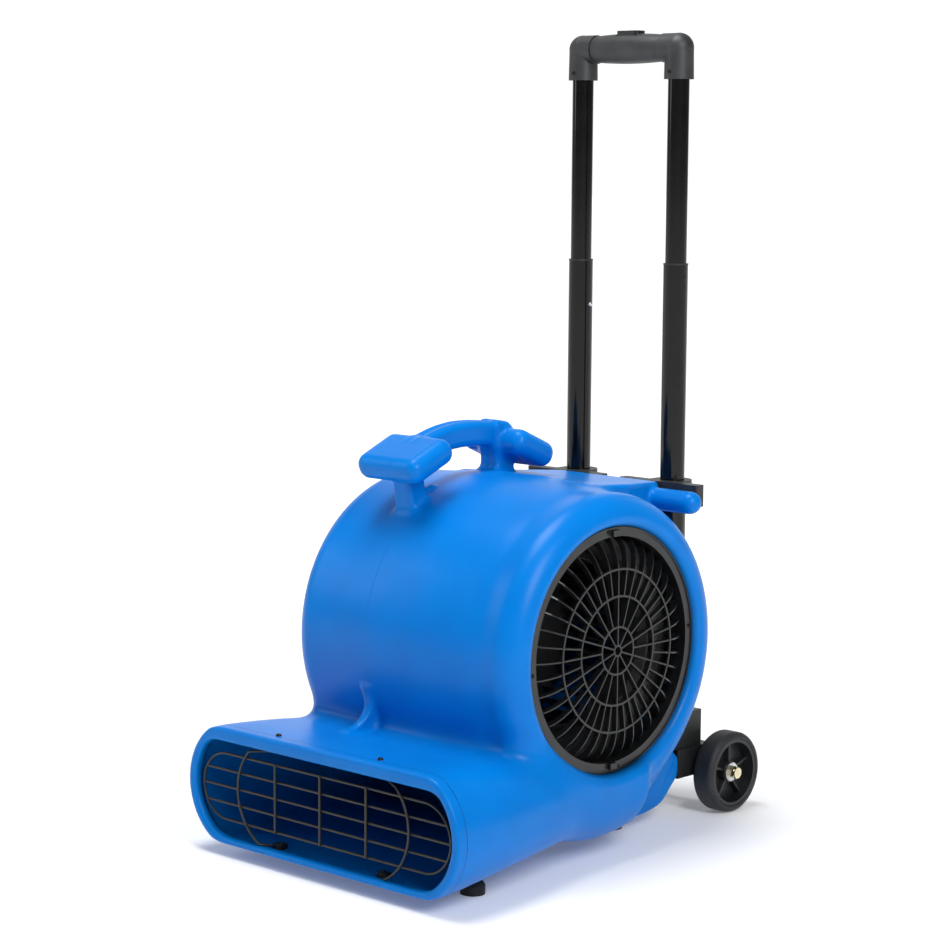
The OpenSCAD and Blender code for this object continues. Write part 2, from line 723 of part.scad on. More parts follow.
module speed_switch() color("dimgray") on_panel(0) translate([knob_x, 0, 6]) {
  translate([-15, -22, -12]) cube([30, 22, 24]);
  rod_y(4.6, -1, 1.8, 32);
  for (x = [-9, -3, 3, 9]) translate([x - 1.5, -29, -3]) cube([3, 8, 0.8]);
}

module speed_knob() color("black")
  on_panel(panel_t + 0.1 + move_gap) translate([knob_x, 0, 6]) difference() {
  union() {
    rod_y(knob_r, 0, 5, 64);
    rod_y(knob_r * 0.8, 5, knob_h, 64);
    translate([-3.5, 4, -knob_r * 0.86]) cube([7, knob_h - 1, knob_r * 1.72]);
    rod_y(spindle_r, -1.2, 1, 32);
  }
  // pointer groove
  translate([-0.8, knob_h + 2.2, knob_r * 0.3]) cube([1.6, 3, knob_r]);
}

// bush that the supply cord enters through
module cord_gland() color("black")
  on_panel(0.1) translate([gland_x, 0, gland_z]) rotate([-90, 0, 0]) difference() {
  union() {
    translate([0, 0, panel_t + 0.1]) cylinder(r = 11, h = 4, $fn = 6);
    translate([0, 0, -8]) cylinder(r = 7.8, h = 13, $fn = 48);
    translate([0, 0, panel_t + 4]) cylinder(r1 = 9, r2 = 6.4, h = 12, $fn = 48);
  }
  translate([0, 0, -20]) cylinder(r = 4, h = 50, $fn = 48);
}

// ---------- feet ----------

module rubber_feet() color("black")
  placed() for (p = foot_spots) translate([p[0], p[1], 0]) difference() {
  union() {
    cylinder(d = foot_d, h = foot_h - 4, $fn = 48);
    translate([0, 0, foot_h - 4.01])
      cylinder(d1 = foot_d, d2 = foot_d - 5, h = 4 - seat_gap, $fn = 48);
  }
  translate([0, 0, -1]) cylinder(r = 5, h = foot_h - 4, $fn = 32);
  cylinder(r = 2.4, h = foot_h + 1, $fn = 24);
}

module foot_screws() color("silver") placed() for (p = foot_spots)
  translate([p[0], p[1], foot_h - 5.1]) mirror([0, 0, 1]) screw(3.8, 2, 12);

// ---------- trolley ----------

module outer_tubes() color("black") placed() both_sides()
  pipe(outer_r, outer_in_r, tube_foot_z, bracket_top_z - 3);

module outer_tube_bushes() color("black") placed() both_sides() {
  pipe(outer_in_r - 0.03, middle_r + run_fit, bracket_top_z - bush_h, bracket_top_z - 2.95);
  pipe(outer_r - 0.5, middle_r + run_fit, bracket_top_z - 2.95, bracket_top_z);
}

module upper_brackets() color("dimgray") placed() for (s = [-1, 1])
  translate([s * tube_x, 0, bracket_top_z - bracket_h]) difference() {
    union() {
      translate([0, rear_wall_y + 0.2 + plate_t / 2, bracket_h / 2])
        round_bar(2 * bracket_half, plate_t, bracket_h, 4);
      translate([0, tube_y, 0]) cylinder(r = outer_r + 7, h = bracket_h, $fn = 64);
      translate([-outer_r - 7, rear_wall_y + 0.2, 0]) cube([2 * outer_r + 14, tube_stand_off, bracket_h]);
    }
    translate([0, tube_y, -1]) cylinder(r = outer_r + 0.05, h = bracket_h + 2, $fn = 64);
  }

module upper_bracket_screws() color("silver") placed() for (s = [-1, 1], x = [36, pad_x])
  translate([s * x, rear_wall_y + 0.3 + plate_t, horn_z]) rotate([-90, 0, 0]) screw(4, 2.2, plate_t + 8);

// foot of the trolley: a socket for the tube and an arm back to the axle
module axle_bracket(s) {
  mirror([s < 0 ? 1 : 0, 0, 0]) difference() {
    union() {
      translate([arm_x0, base_lip_y + 0.3, axle_z - 2])
        cube([arm_x1 - arm_x0, axle_y - base_lip_y - 6, 36]);
      translate([0, axle_y, axle_z]) rod_x(axle_r + 8, arm_x0, arm_x1, 64);
      translate([arm_x0, axle_y - axle_r - 8, axle_z])
        cube([arm_x1 - arm_x0, 2 * axle_r + 8, 30]);
      translate([arm_x0 + 1, rear_wall_y + 8.6, axle_z + 34]) cube([arm_x1 - arm_x0 - 4, 58, 44]);
      translate([arm_x0 - ear_w, base_lip_y + 0.3, axle_z + 1]) cube([ear_w + 1, ear_t, 28]);
    }
    translate([tube_x, tube_y, tube_foot_z - 0.1]) cylinder(r = outer_r + 0.05, h = 100, $fn = 64);
    translate([0, axle_y, axle_z]) rod_x(axle_r + 0.03, arm_x0 - 1, arm_x1 + 1, 64);
  }
}

module axle_brackets() color("black") placed() for (s = [-1, 1]) axle_bracket(s);

module axle_bracket_screws() color("silver") placed() for (s = [-1, 1], z = ear_screw_z)
  translate([s * ear_screw_x, base_lip_y + ear_t + 0.4, z]) rotate([-90, 0, 0]) screw(4, 2.2, 22);

module axle() color("silver") placed() translate([0, axle_y, axle_z]) {
  rod_x(axle_r, -shoulder_x, shoulder_x, 64);
  rod_x(thread_r, -shoulder_x - thread_len, shoulder_x + thread_len, 48);
}

module wheel_frame(s) {
  placed() translate([s * (wheel_x - wheel_w), axle_y, axle_z]) rotate([0, s * 90, 0]) children();
}

module wheel_tyre(s) {
  // rounded shoulders, as arcs of six steps
  low = [for (a = [-90 : 15 : 0])
    [wheel_r - shoulder_r + shoulder_r * cos(a), shoulder_r + shoulder_r * sin(a)]];
  high = [for (a = [0 : 15 : 90])
    [wheel_r - shoulder_r + shoulder_r * cos(a), wheel_w - shoulder_r + shoulder_r * sin(a)]];
  wheel_frame(s) rotate_extrude($fn = 96) polygon(concat(
    [[hub_r + 0.02, 1.5], [hub_r + 1.5, 0]], low, high,
    [[hub_r + 1.5, wheel_w], [hub_r + 0.02, wheel_w - 1.5]]));
}

module wheel_hub(s) {
  wheel_frame(s) difference() {
    union() {
      pipe(hub_r, hub_r - 3.5, 1.5, wheel_w - 1.5, 96);
      pipe(13, axle_r + run_fit, 0, hub_boss, 48);
      difference() {
        translate([0, 0, 8]) cylinder(r = hub_r - 1, h = 4, $fn = 96);
        translate([0, 0, 7]) cylinder(r = 12, h = 6, $fn = 48);
      }
      for (i = [0 : 4]) rotate(i * 72 + 36)
        translate([11, -1.4, 4]) cube([hub_r - 13, 2.8, wheel_w - 14]);
    }
  }
}

module wheel_hub_right() color("black") wheel_hub(1);
module wheel_hub_left() color("black") wheel_hub(-1);
module wheel_tyre_right() color("darkslategray") wheel_tyre(1);
module wheel_tyre_left() color("darkslategray") wheel_tyre(-1);

module axle_washers() color("silver") for (s = [-1, 1]) wheel_frame(s)
  pipe(washer_r, axle_r + 0.2, washer_z, washer_z + washer_t, 48);

module axle_cap_nuts() color("gold") for (s = [-1, 1]) wheel_frame(s)
  translate([0, 0, washer_z + washer_t + 0.05]) difference() {
    union() {
      cylinder(r = nut_r, h = nut_h - 2, $fn = 6);
      cylinder(r = nut_r - 1, h = nut_h, $fn = 32);
    }
    translate([0, 0, -1]) cylinder(r = thread_r + 0.03, h = thread_len + 2, $fn = 48);
  }

// sliding stages: each tube has a plastic bush at its mouth and a guide at its foot
module middle_tubes() color("black") placed() both_sides() difference() {
  pipe(middle_r, middle_in_r, middle_foot_z, middle_top_z);
  // dimples that hold the bush
  for (z = [13, 26]) translate([middle_r + 1.2, 0, middle_top_z - z]) sphere(2, $fn = 24);
}

module middle_tube_bushes() color("black") placed() both_sides() {
  pipe(middle_in_r - 0.03, inner_r + run_fit, middle_top_z - bush_h, middle_top_z + 0.05);
  pipe(middle_r + 0.3, inner_r + run_fit, middle_top_z + 0.05, middle_top_z + bush_flange);
}

module middle_tube_guides() color("gray") placed() both_sides() {
  pipe(middle_in_r - 0.03, middle_in_r - 2.2, middle_foot_z - 6, middle_foot_z + guide_h);
  pipe(outer_in_r - run_fit, middle_in_r - 2.2, middle_foot_z - 6, middle_foot_z - 0.05);
}

// steel tip that shows in the inner side of each middle tube
module lock_tips() color("silver") placed() for (s = [-1, 1])
  translate([s * (tube_x - middle_r + 1), tube_y, tip_z]) {
    rod_x(2.6, 0, -s * 2, 24);
    translate([-s * 2, 0, 0]) sphere(2.6, $fn = 24);
  }

module inner_tubes() color("black") placed() both_sides()
  pipe(inner_r, inner_in_r, inner_foot_z, elbow_rim_z + 18);

// plastic block in the foot of each inner tube; the lock pin slides across it
module inner_tube_guides() color("gray") placed() for (s = [-1, 1])
  translate([s * tube_x, tube_y, 0]) difference() {
    union() {
      translate([0, 0, inner_foot_z - 5]) cylinder(r = inner_in_r - 0.03, h = guide_h + 5, $fn = 64);
      translate([0, 0, inner_foot_z - 5]) cylinder(r = middle_in_r - run_fit, h = 4.95, $fn = 64);
    }
    translate([0, 0, pin_z]) rod_x(pin_r + run_fit, -s * (inner_r + 1), s * (pin_len - inner_in_r + 5), 32);
    translate([0, 0, pin_z]) cylinder(r = rod_r + 0.5, h = guide_h + 5, $fn = 32);
  }

module lock_pin(s) {
  placed() translate([s * tube_x, tube_y, pin_z])
    rod_x(pin_r, -s * (inner_in_r - 0.4), -s * (inner_in_r - 0.4 - pin_len), 32);
}

module lock_pin_left() color("silver") lock_pin(-1);
module lock_pin_right() color("silver") lock_pin(1);

// ---------- grip ----------

module elbow(s) {
  placed() translate([s * tube_x, tube_y, 0]) mirror([s < 0 ? 1 : 0, 0, 0]) difference() {
    union() {
      translate([0, 0, elbow_rim_z]) cylinder(r1 = elbow_r, r2 = grip_d / 2 + 1.4,
        h = grip_z - elbow_rim_z, $fn = 64);
      translate([0, 0, grip_z]) rotate([0, -45, 0]) sphere(grip_d / 2 + 1.6, $fn = 64);
      translate([0, 0, grip_z]) rod_x(grip_d / 2 + 1.4, 0, -(tube_x - elbow_end_x), 64);
    }
    translate([0, 0, elbow_rim_z - 1]) cylinder(r = inner_r + 0.03, h = 19.1, $fn = 64);
    translate([0, 0, elbow_rim_z]) cylinder(r = grip_bore_r, h = grip_z - elbow_rim_z + 4, $fn = 48);
    translate([0, 0, grip_z]) rod_x(grip_bore_r, 4, -tube_x, 48);
  }
}

module grip_elbow_left() color("dimgray") elbow(-1);
module grip_elbow_right() color("dimgray") elbow(1);

// barrel between the elbows, a little fatter in the middle, with the button's well on top
module grip_bar() color("dimgray") placed() translate([0, tube_y, grip_z]) difference() {
  rotate([0, 90, 0]) rotate_extrude($fn = 64) polygon([
    for (i = [-6 : 6]) [grip_d / 2 + 2.2 * (1 - i * i / 36), i * (elbow_end_x - 0.1) / 6],
    [grip_bore_r, elbow_end_x - 0.1], [grip_bore_r, 0.1 - elbow_end_x]]);
  translate([-button_w / 2 - move_gap, -button_d / 2 - move_gap, 0])
    cube([button_w + 2 * move_gap, button_d + 2 * move_gap, grip_d]);
}

module elbow_screws() color("silver") placed() for (s = [-1, 1])
  translate([s * tube_x, tube_y - elbow_r + 0.1, elbow_rim_z + 9]) rotate([90, 0, 0]) screw(2.4, 1.4, 7.5);

// push button on top of the grip, with the bar and rods that it drives down the tubes
module release_button() color("black") placed()
  translate([0, tube_y, grip_z + (grip_d / 2 + button_rise + button_foot) / 2])
    round_bar(button_w, button_d, grip_d / 2 + button_rise - button_foot, 5);

module release_yoke() color("gray") placed() translate([0, tube_y, grip_z]) {
  translate([0, 0, 3.5]) rod_x(3, -tube_x - rod_r - 1, tube_x + rod_r + 1, 32);
  translate([0, 0, 6]) cylinder(r = 4, h = button_foot - 6.05, $fn = 32);
}

module release_rods() color("silver") placed() both_sides() {
  rod_foot_z = pin_z + pin_r + 2 + button_travel;
  translate([0, 0, rod_foot_z]) cylinder(r = rod_r, h = grip_z - rod_foot_z + 1, $fn = 32);
}

function spring_ring(t, r, turns, h, wire_r) = let (a = 360 * turns * t)
  [for (k = [0 : 7]) let (b = 45 * k) [(r + wire_r * cos(b)) * cos(a), (r + wire_r * cos(b)) * sin(a),
    h * t + wire_r * sin(b)]];

// helical wire as one closed skin of rings
module spring(r, turns, h, wire_r) {
  n = 14 * turns;
  rings = [for (i = [0 : n]) spring_ring(i / n, r, turns, h, wire_r)];
  points = [for (ring = rings) for (p = ring) p];
  sides = [for (i = [0 : n - 1]) for (k = [0 : 7])
    let (a = 8 * i + k, b = 8 * i + (k + 1) % 8) [a, a + 8, b + 8, b]];
  ends = [[for (k = [0 : 7]) k], [for (k = [7 : -1 : 0]) 8 * n + k]];
  polyhedron(points, concat(sides, ends), convexity = 6);
}

module release_spring() color("silver") placed() translate([0, tube_y, grip_z - grip_bore_r + 1.35])
  spring(2.3, 4, 6.4, 0.5);

housing();
inlet_grille_right();
inlet_grille_left();
inlet_grille_screws();
outlet_grille();
outlet_grille_clamps();
outlet_grille_screws();
motor_case();
motor_stator();
motor_cap_inner();
motor_cap_outer();
motor_bearings();
motor_mount();
motor_mount_screws();
inlet_cones();
inlet_cone_screws();
motor_core();
motor_shaft();
fan_wheel();
fan_hub();
capacitor();
capacitor_strap();
switch_plate();
switch_plate_screws();
speed_switch();
speed_knob();
cord_gland();
rubber_feet();
foot_screws();
outer_tubes();
outer_tube_bushes();
upper_brackets();
upper_bracket_screws();
axle_brackets();
axle_bracket_screws();
axle();
axle_washers();
axle_cap_nuts();
wheel_hub_left();
wheel_tyre_left();
wheel_hub_right();
wheel_tyre_right();
middle_tubes();
middle_tube_bushes();
middle_tube_guides();
lock_tips();
inner_tubes();
inner_tube_guides();
grip_elbow_left();
grip_elbow_right();
grip_bar();
elbow_screws();
release_button();
release_yoke();
release_rods();
release_spring();
lock_pin_left();
lock_pin_right();
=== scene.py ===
import math

import bpy
import numpy as np
import openvdb
from mathutils import Matrix, Vector


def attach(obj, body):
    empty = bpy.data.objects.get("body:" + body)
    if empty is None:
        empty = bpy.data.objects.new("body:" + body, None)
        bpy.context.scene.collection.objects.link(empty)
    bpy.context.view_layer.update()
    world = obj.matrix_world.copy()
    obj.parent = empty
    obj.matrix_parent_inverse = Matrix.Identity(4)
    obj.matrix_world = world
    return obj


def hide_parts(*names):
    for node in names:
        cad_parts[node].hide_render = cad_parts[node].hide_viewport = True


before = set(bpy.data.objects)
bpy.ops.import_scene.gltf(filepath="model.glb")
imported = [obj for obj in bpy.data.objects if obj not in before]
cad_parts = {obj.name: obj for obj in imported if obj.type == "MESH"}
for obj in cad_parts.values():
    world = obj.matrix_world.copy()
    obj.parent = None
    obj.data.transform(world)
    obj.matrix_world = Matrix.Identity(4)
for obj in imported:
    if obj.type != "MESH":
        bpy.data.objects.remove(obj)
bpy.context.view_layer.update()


# ---------- camera ----------
# A long lens at hip height, to the front and right of the machine, looking down a little.
camera = bpy.data.objects.new("camera", bpy.data.cameras.new("camera"))
bpy.context.scene.collection.objects.link(camera)
camera.data.sensor_width = 36.0
camera.data.lens = 99.42
azimuth, pitch, roll = math.radians(43.41), math.radians(7.2), math.radians(0.42)
flat = math.cos(pitch)
ahead = Vector((-math.sin(azimuth) * flat, math.cos(azimuth) * flat, -math.sin(pitch)))
level = Vector((math.cos(azimuth), math.sin(azimuth), 0.0))
upward = level.cross(ahead)
side = level * math.cos(roll) + upward * math.sin(roll)
upward = upward * math.cos(roll) - level * math.sin(roll)
eye = Vector((2.06943, -2.25366, 0.81919))
turned = Matrix((side, upward, -ahead)).transposed().to_4x4()
camera.matrix_world = Matrix.Translation(eye) @ turned
bpy.context.scene.camera = camera


# ---------- how a material is written ----------
# Every material is a Principled shader fed by a few noise patterns in object space,
# whose scales are counted from millimetres.
def linear(code):
    """Linear colour, with its alpha, of an sRGB hex code."""
    parts = [int(code[i:i + 2], 16) / 255 for i in (1, 3, 5)]
    return (*(p / 12.92 if p <= 0.04045 else ((p + 0.055) / 1.055) ** 2.4 for p in parts), 1.0)


def add(mat, kind, inputs=None, **settings):
    """One more node in the material, its settings, and its inputs as values or as links."""
    item = mat.node_tree.nodes.new("ShaderNode" + kind)
    for key, value in settings.items():
        setattr(item, key, value)
    for key, value in (inputs or {}).items():
        # a colour mix has sockets of the same name for other types, which are switched off
        entry = item.inputs[key] if isinstance(key, int) else next(
            e for e in item.inputs if e.name == key and e.enabled)
        if isinstance(value, bpy.types.NodeSocket):
            mat.node_tree.links.new(value, entry)
        else:
            entry.default_value = value
    return item


def per_mm(size_mm):
    """Noise scale for a pattern of this size."""
    return 1000.0 / size_mm


def material(name, **base):
    """New material and its shader, with inputs set by name."""
    mat = bpy.data.materials.new(name)
    mat.use_nodes = True
    shader = mat.node_tree.nodes["Principled BSDF"]
    for key, value in base.items():
        shader.inputs[key.replace("_", " ")].default_value = value
    return mat, shader


def link(mat, source, target):
    mat.node_tree.links.new(source, target)


def two_tone(mat, shader, low, high, size_mm, detail=3.0, lo=0.35, hi=0.65):
    """Colour that drifts between two tones over patches of this size."""
    place = add(mat, "TexCoord").outputs["Object"]
    noise = add(mat, "TexNoise", {"Vector": place, "Scale": per_mm(size_mm), "Detail": detail})
    ramp = add(mat, "ValToRGB", {"Fac": noise.outputs["Fac"]})
    ramp.color_ramp.elements[0].position = lo
    ramp.color_ramp.elements[1].position = hi
    ramp.color_ramp.elements[0].color = linear(low)
    ramp.color_ramp.elements[1].color = linear(high)
    link(mat, ramp.outputs["Color"], shader.inputs["Base Color"])
    return place


def rough_patches(mat, shader, place, low, high, size_mm):
    """Roughness that varies in patches, as handling and dust leave it."""
    noise = add(mat, "TexNoise", {"Vector": place, "Scale": per_mm(size_mm), "Detail": 4.0})
    span = add(mat, "MapRange", {"Value": noise.outputs["Fac"], "To Min": low, "To Max": high})
    link(mat, span.outputs["Result"], shader.inputs["Roughness"])


def grain(mat, shader, place, size_mm, height_mm, below=None):
    """Fine moulded grain as a bump of this size and height."""
    noise = add(mat, "TexNoise", {"Vector": place, "Scale": per_mm(size_mm), "Detail": 2.0})
    bump = add(mat, "Bump", {"Height": noise.outputs["Fac"], "Strength": 1.0,
                             "Distance": height_mm / 1000})
    if below is not None:
        link(mat, below.outputs["Normal"], bump.inputs["Normal"])
    link(mat, bump.outputs["Normal"], shader.inputs["Normal"])


def paint(nodes, mat):
    """Gives this material to CAD nodes that are shown themselves."""
    for name in nodes:
        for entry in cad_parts[name].material_slots:
            entry.material = mat


# ---------- housing ----------
# One hollow skin of blue polyethylene, rotomoulded, so every edge is soft and the walls
# flow into each other. It is written as a distance field in millimetres about the fan
# axis, turned into a skin, and each vertex is then moved onto the exact surface.
axis_y, axis_z = -10.9, 246.5  # fan axis in the frame
top_z = 493.5                  # top of the carry handle
mouth_z = 84.0                 # middle of the outlet
floor_z = 14.0                 # underside, which the feet carry
wall = 5.0


def smin(a, b, k):
    """Union of two fields with a fillet about this wide."""
    h = np.maximum(k - np.abs(a - b), 0.0) / k
    return np.minimum(a, b) - h * h * k * 0.25


def smax(a, b, k):
    """Intersection of two fields with a rounding about this wide."""
    return -smin(-a, -b, k)


def step(t):
    """Soft step from 0 to 1."""
    t = np.clip(t, 0.0, 1.0)
    return t * t * (3.0 - 2.0 * t)


def boxed(parts, radius):
    """Rounded box: distances past each pair of faces, already less the radius."""
    outside = np.sqrt(sum(np.maximum(p, 0.0) ** 2 for p in parts))
    inside = np.minimum(np.maximum.reduce(parts), 0.0)
    return outside + inside - radius


def scroll(x, y, z):
    """Drum and its heel: the convex outline of two discs, run across between the cheeks."""
    ay, az, ra, by, bz, rb = 1.5, 244.5, 181.0, 5.0, 124.0, 107.0
    dy, dz = by - ay, bz - az
    length2 = dy * dy + dz * dz
    rr = ra - rb
    a2 = length2 - rr * rr
    py, pz = y - ay, z - az
    t = py * dy + pz * dz
    q = (py * length2 - dy * t) ** 2 + (pz * length2 - dz * t) ** 2
    y2, z2 = t * t * length2, (t - length2) ** 2 * length2
    k = rr * rr * q
    near_b = np.sign(t - length2) * a2 * z2 > k
    near_a = np.sign(t) * a2 * y2 < k
    flank = (np.sqrt(q * a2 / length2) + t * rr) / length2 - ra
    d = np.where(near_a, np.sqrt(q + y2) / length2 - ra, flank)
    d = np.where(near_b, np.sqrt(q + z2) / length2 - rb, d)
    # the barrel is crowned, with a soft valley between it and each cheek
    ax = np.abs(x)
    crown = 8.0 * step((150.0 - ax) / 135.0) - 1.3 * np.exp(-((x - 127.0) / 14.0) ** 2)
    # each cheek rounds off more widely towards the floor
    radius = 31.0 + 38.0 * step((135.0 - z) / 105.0)
    return boxed([d - crown + radius, ax - 178.0 + radius], radius)


def duct(x, y, z):
    """Outlet duct, wide and flat at the lip and narrower where it meets the drum."""
    t = np.clip((y + 285.0) / 300.0, 0.0, 1.0)
    half = 217.4 - 41.0 * t * t * (2.0 - t)
    end = 75.9 - 25.0 * t * (2.0 - t)
    over = np.abs(x) - (half - end)
    d = np.sqrt(np.maximum(over, 0.0) ** 2 + (z - mouth_z) ** 2) - end
    d = smax(d, np.abs(z - mouth_z + 1.0) - 69.0, 7.0)
    d = smax(d, -305.0 - y, 5.0)
    return smax(d, y - 40.0, 5.0)


def deck(x, y, z):
    """Flat deck behind the drum, sloping down a little to the rear wall."""
    top = 424.5 - 9.0 * (y - 60.0) / 128.0
    half = 101.0 - 21.0 * np.clip((y - 106.0) / 82.0, 0.0, 1.2)
    d = smax(z - top, np.abs(x) - half, 7.0)
    d = smax(d, y - 188.0, 7.0)
    d = smax(d, 30.0 - y, 7.0)
    return smax(d, 235.0 - z, 7.0)


def prism(x, y, z, corners, half):
    """Convex outline in Y and Z with soft corners, run across to both sides."""
    d = None
    for i, (y0, z0) in enumerate(corners):
        y1, z1 = corners[(i + 1) % len(corners)]
        run = math.hypot(y1 - y0, z1 - z0)
        plane = ((y - y0) * (z1 - z0) - (z - z0) * (y1 - y0)) / run
        d = plane if d is None else smax(d, plane, 5.0)
    return smax(d, np.abs(x) - half, 6.0)


def base_block(x, y, z):
    """Block low at the back that carries the axle brackets and the rear feet."""
    half = 103.0
    lip = [(44, 14), (136, 14), (174, 22), (206, 53), (206, 77), (150, 112)]
    riser = [(44, 14), (160, 22), (196, 72), (196, 138), (126, 170), (40, 120)]
    return smin(prism(x, y, z, lip, half), prism(x, y, z, riser, half), 3.0)


def capsule(x, y, z, a, b, radius):
    """Round bar between two points."""
    ab = [b[i] - a[i] for i in range(3)]
    t = ((x - a[0]) * ab[0] + (y - a[1]) * ab[1] + (z - a[2]) * ab[2]) / sum(v * v for v in ab)
    t = np.clip(t, 0.0, 1.0)
    off = [(x, y, z)[i] - a[i] - ab[i] * t for i in range(3)]
    return np.sqrt(off[0] ** 2 + off[1] ** 2 + off[2] ** 2) - radius


def cross_head(u, y, z, y0, z0, y1, z1):
    """Pad across an end of the carry handle, leaning from one point to the other."""
    run = math.hypot(y1 - y0, z1 - z0)
    cy, cz = (y0 + y1) / 2, (z0 + z1) / 2
    along = ((y - cy) * (y1 - y0) + (z - cz) * (z1 - z0)) / run
    across = ((z - cz) * (y1 - y0) - (y - cy) * (z1 - z0)) / run
    return boxed([np.abs(u) - 36.0, np.abs(along) - run / 2 - 1.0, np.abs(across) - 1.5], 14.0)


def carry_handle(x, y, z):
    """Bowed grip on two posts, with a pad across each end."""
    u = x + 56.0
    mid = top_z - 15.5 - np.where(y < -18.0, 0.0026, 0.0014) * (y + 18.0) ** 2
    bow = boxed([np.abs(u) - 5.0, np.abs(z - mid) - 5.5], 10.0)
    bow = smax(bow, 6.0 - np.sqrt(u * u + (z - mid - 19.0) ** 2), 3.0)
    bow = smax(bow, np.abs(y + 24.0) - 82.0, 4.0)
    collar = boxed([np.abs(u) - 10.0, np.abs(y - 41.0) - 7.0, np.abs(z - mid) - 10.0], 7.0)
    head = cross_head(u, y, z, -131.0, top_z - 46.0, -92.0, top_z - 29.0)
    tail = cross_head(u, y, z, 46.0, top_z - 28.0, 83.0, top_z - 44.0)
    lean = -110.0 + (451.5 - z) * 12.0 / 65.0
    post = boxed([np.abs(u) - 9.0, np.abs(y - lean) - 8.0, np.abs(z - 418.0) - 30.0], 6.0)
    rear = boxed([np.abs(u) - 9.0, np.abs(y - 45.0) - 10.0, np.abs(z - 436.0) - 18.0], 6.0)
    rear = smax(rear, 3.0 - np.sqrt(u * u + (y - 27.5) ** 2), 2.0)
    d = smin(smin(bow, head, 5.0), smin(collar, tail, 6.0), 5.0)
    return smin(d, smin(post, rear, 4.0), 11.0)


def fin(x, y, z):
    """Web in the corner between duct and drum."""
    d = smax(37.5 - np.sqrt((y + 216.0) ** 2 + (z - 190.0) ** 2), z - 197.0, 4.0)
    d = smax(d, 140.0 - z, 4.0)
    d = smax(d, -216.0 - y, 4.0)
    return smax(smax(d, y + 150.0, 4.0), np.abs(x + 47.0) - 6.0, 5.0)


def horns(x, y, z):
    """Round stubs at both sides of the deck, each with a pad for an upper bracket."""
    ax = np.abs(x)
    d = capsule(ax, y, z, (60, 170, 397), (141.5, 170, 397), 13.5)
    pad = boxed([np.abs(ax - 115.0) - 8.0, np.abs(y - 179.0) - 6.0, np.abs(z - 397.0) - 7.0], 3.0)
    return smin(d, pad, 3.0)


def outer_form(x, y, z):
    """Body as it would be if it were solid, without what is moulded on to it."""
    big = smin(scroll(x, y, z), duct(x, y, z), 34.0)
    big = smin(big, deck(x, y, z), 9.0)
    big = smin(big, base_block(x, y, z), 12.0)
    return smax(big, floor_z - z, 4.0)


def housing(x, y, z):
    """Hollow body with its openings, handle, fin and horns."""
    big = outer_form(x, y, z)
    hollow = smax(big + wall, -290.0 - y, 3.0)
    d = smin(big, horns(x, y, z), 8.0)
    d = smin(d, carry_handle(x, y, z), 11.0)
    d = smin(d, capsule(x, y, z, (-54, -88, 411), (-54, -70, 417), 5.5), 5.0)
    d = smin(d, fin(x, y, z), 9.0)
    # collars of the two inlets inside the hollow
    ax = np.abs(x)
    r = np.sqrt(y * y + (z - axis_z) ** 2)
    collar = smax(smax(r - 147.0, 140.0 - ax, 1.0), ax - 176.0, 1.0)
    collar = smin(collar, smax(r - 160.0, 158.0 - ax, 1.0), 2.0)
    d = smax(d, -smax(hollow, -collar, 2.0), 2.0)
    # the mouth, with a thick lip round it
    over = np.abs(x) - 139.5
    mouth = np.sqrt(np.maximum(over, 0.0) ** 2 + (z - mouth_z) ** 2) - 66.4
    mouth = smax(smax(mouth, z - 135.5, 9.0), 22.0 - z, 9.0)
    mouth = smax(mouth, y + 286.0, 2.0)
    d = smax(d, -mouth, 6.0)
    # seats of the inlet grilles, and the bores behind them
    d = smax(d, -smax(r - 142.0, 166.0 - ax, 0.5), 14.0)
    d = smax(d, -smax(r - 134.0, 100.0 - ax, 0.5), 0.5)
    # hole behind the switch plate
    hole = smax(np.abs(x) - 30.0, np.abs(z - 332.5) - 20.0, 0.5)
    return smax(d, -smax(hole, 160.0 - y, 0.5), 0.5)


def slope(field, p):
    """Gradient of a field at each point."""
    reach = 0.05
    sides = [field(*(p + s * reach * np.eye(3)[i]).T) for i in range(3) for s in (1, -1)]
    return np.stack([(sides[2 * i] - sides[2 * i + 1]) / (2 * reach) for i in range(3)], axis=1)


